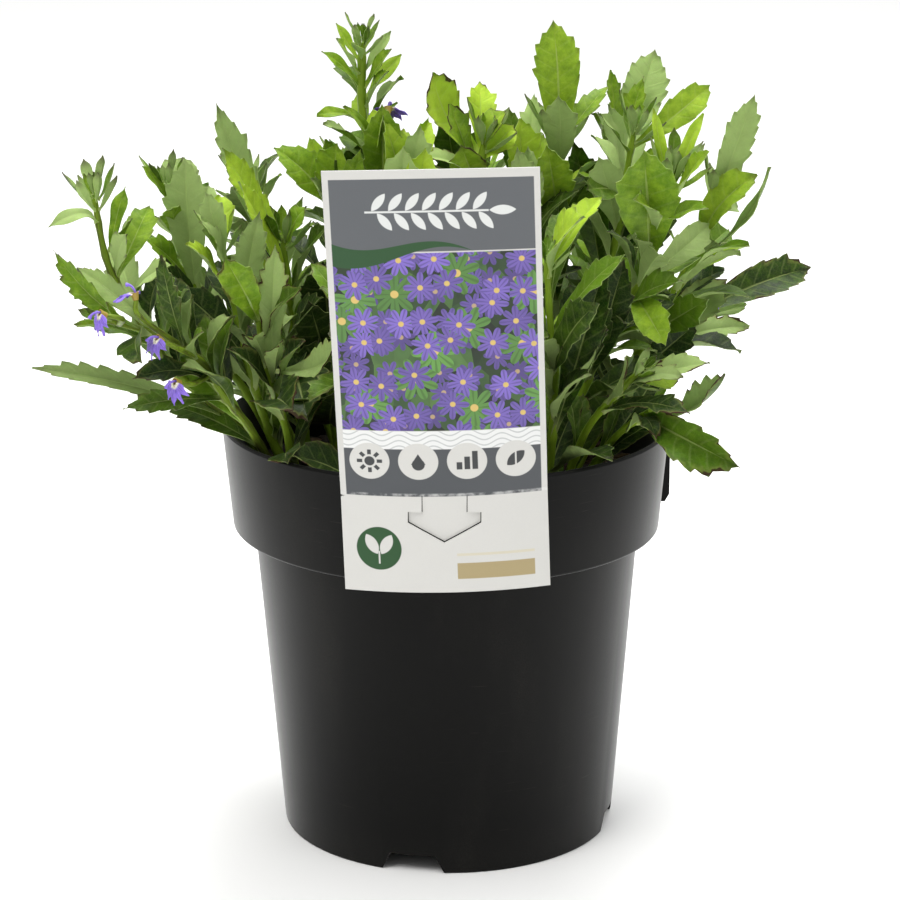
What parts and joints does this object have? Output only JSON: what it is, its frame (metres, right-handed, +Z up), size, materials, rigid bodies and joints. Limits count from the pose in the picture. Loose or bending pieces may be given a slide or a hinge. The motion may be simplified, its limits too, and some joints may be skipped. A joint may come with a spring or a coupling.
{
  "type": "potted fan flower",
  "caption": "leafy bedding plant with toothed leaves and a few violet fan flowers, growing in a stepped-rim plastic nursery pot with a plain card label",
  "frame": {"origin": "the middle of the pot's foot, on the surface that it stands on", "axes": "+Z up along the pot's axis, -Y towards the front with the label, +X to the right seen from the front"},
  "size_m": [0.3095, 0.2394, 0.3298],
  "materials": {
    "pot_plastic": "satin",
    "potting_soil": "matte",
    "label_card": "satin",
    "foliage": "satin",
    "petals": "matte"
  },
  "bodies": {
    "root": {"pot": "pot_plastic", "soil": "potting_soil", "label": "label_card", "stem_left_rosette": "foliage", "stem_left_low": "foliage", "stem_left_tall": "foliage", "stem_left_inner": "foliage", "stem_left_back": "foliage", "stem_centre_left": "foliage", "stem_left_front": "foliage", "stem_tall": "foliage", "stem_centre_curled": "foliage", "stem_centre_front": "foliage", "stem_centre_right": "foliage", "stem_right_tall": "foliage", "stem_right_pale": "foliage", "stem_right_front": "foliage", "stem_right_branch": "foliage", "stem_right_long_leaf": "foliage", "stem_right_lime": "foliage", "stem_right_middle": "foliage", "stem_right_low": "foliage", "stem_right_over_rim": "foliage", "stem_front_left": "foliage", "stem_front_right": "foliage", "stem_back_1": "foliage", "stem_back_2": "foliage", "stem_back_3": "foliage", "stem_back_4": "foliage", "stem_back_5": "foliage", "stem_back_6": "foliage", "stem_back_low": "foliage", "bloom_1": "petals", "bloom_2": "petals", "bloom_3": "petals", "bloom_4": "petals", "bloom_5": "petals", "bloom_6": "petals", "bloom_7": "petals", "bloom_8": "petals", "bloom_9": "petals"}
  },
  "joints": []
}
